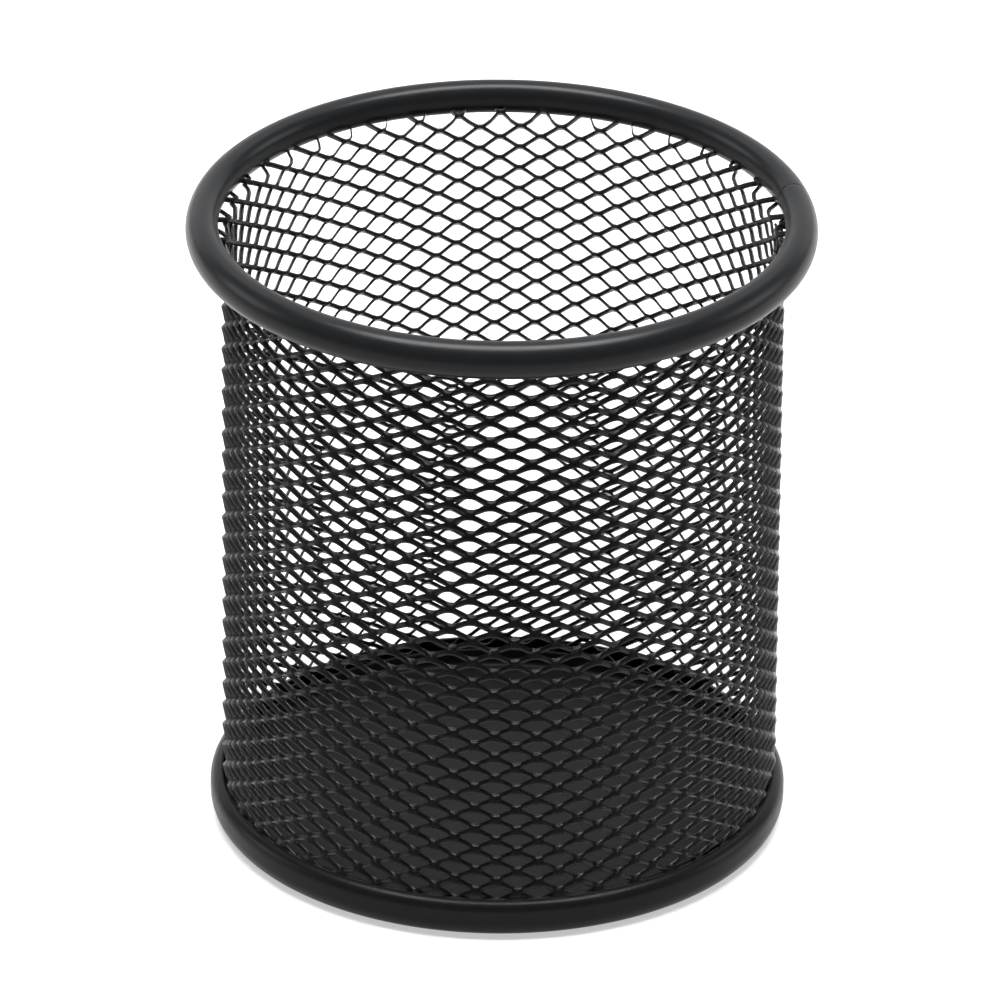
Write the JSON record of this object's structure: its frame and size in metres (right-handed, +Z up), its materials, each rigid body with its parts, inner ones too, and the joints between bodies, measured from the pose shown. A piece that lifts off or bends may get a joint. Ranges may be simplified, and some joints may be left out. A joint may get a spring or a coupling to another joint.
{
  "type": "pen holder cup",
  "caption": "Round desktop pen holder: a cylinder of expanded steel mesh with a rolled rim tube, a base ring and a pressed floor.",
  "frame": {"origin": "middle of the circle that the base ring stands on", "axes": "+Z up along the cup's axis, towards the open rim; +X towards the lapped seam of the mesh"},
  "size_m": [0.0905, 0.0904, 0.0963],
  "materials": {
    "mesh_coat": "black satin powder coat over expanded steel, pooled a little at the strand crossings",
    "rim_coat": "black satin powder coat, smooth, with a soft highlight along the rolled tube",
    "base_coat": "black satin powder coat, smooth"
  },
  "bodies": {
    "root": {"mesh_wall": "mesh_coat", "seam_spot_welds": "mesh_coat", "rim_tube": "rim_coat", "base_ring": "base_coat", "floor_pan": "base_coat"}
  },
  "joints": []
}
